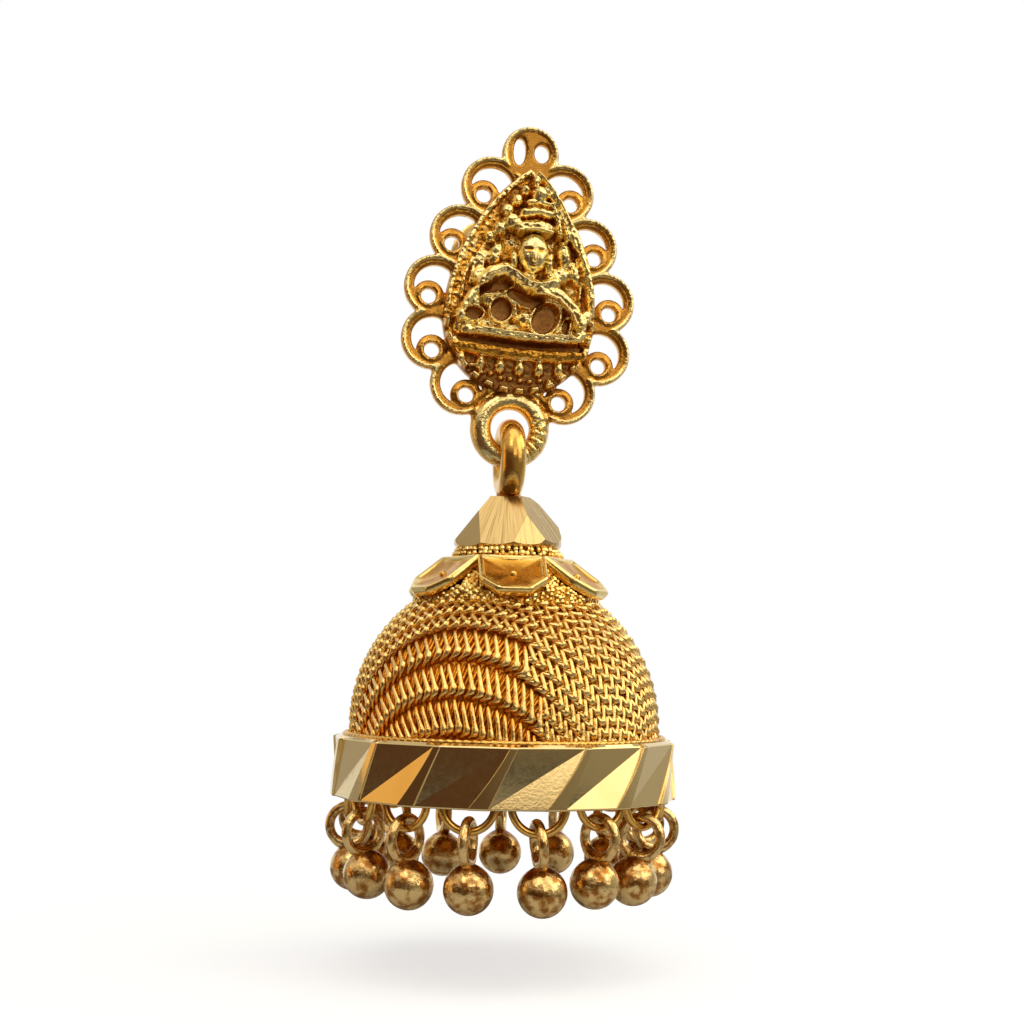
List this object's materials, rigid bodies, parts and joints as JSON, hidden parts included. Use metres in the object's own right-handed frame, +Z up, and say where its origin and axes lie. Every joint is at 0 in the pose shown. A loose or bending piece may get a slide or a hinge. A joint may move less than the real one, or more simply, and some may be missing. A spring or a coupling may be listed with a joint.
{
  "type": "jhumka earring",
  "caption": "Bell-shaped drop earring in gold: an openwork ear plate with a seated figure, a hinged woven bell under a petalled cap, and a fringe of ball drops.",
  "frame": {"origin": "on the ear post's axis where the post leaves the flat back of the ear plate", "axes": "+Z up as it hangs, -Y is the front, the ear post points along +Y"},
  "size_m": [0.0204, 0.0237, 0.0457],
  "materials": {
    "cast_gold": "cast and oxidised in the recesses, polished on the high places",
    "turned_gold": "turned, smooth",
    "drawn_gold": "drawn wire, bright",
    "cut_gold": "facets cut bright",
    "granulated_gold": "granulated and polished",
    "woven_gold": "woven wire, bright over dark gaps",
    "polished_gold": "mirror polished"
  },
  "bodies": {
    "stud": {"stud_plate": "cast_gold", "screw_back": "turned_gold"},
    "bell": {"hanging_loop": "drawn_gold", "faceted_cap": "cut_gold", "petal_cap": "granulated_gold", "dome": "woven_gold", "rim_band": "cut_gold", "jump_ring_01": "drawn_gold", "jump_ring_02": "drawn_gold", "jump_ring_03": "drawn_gold", "jump_ring_04": "drawn_gold", "jump_ring_05": "drawn_gold", "jump_ring_06": "drawn_gold", "jump_ring_07": "drawn_gold", "jump_ring_08": "drawn_gold", "jump_ring_09": "drawn_gold", "jump_ring_10": "drawn_gold", "jump_ring_11": "drawn_gold", "jump_ring_12": "drawn_gold", "jump_ring_13": "drawn_gold", "jump_ring_14": "drawn_gold", "jump_ring_15": "drawn_gold", "ball_drop_01": "polished_gold", "ball_drop_02": "polished_gold", "ball_drop_03": "polished_gold", "ball_drop_04": "polished_gold", "ball_drop_05": "polished_gold", "ball_drop_06": "polished_gold", "ball_drop_07": "polished_gold", "ball_drop_08": "polished_gold", "ball_drop_09": "polished_gold", "ball_drop_10": "polished_gold", "ball_drop_11": "polished_gold", "ball_drop_12": "polished_gold", "ball_drop_13": "polished_gold", "ball_drop_14": "polished_gold", "ball_drop_15": "polished_gold"}
  },
  "joints": [
    {"name": "bell_swing", "type": "hinge", "parent": "stud", "child": "bell", "pos_m": [-0.00033, -0.0005, -0.01472], "axis": [1, 0, 0], "range_deg": [-60, 60]}
  ]
}
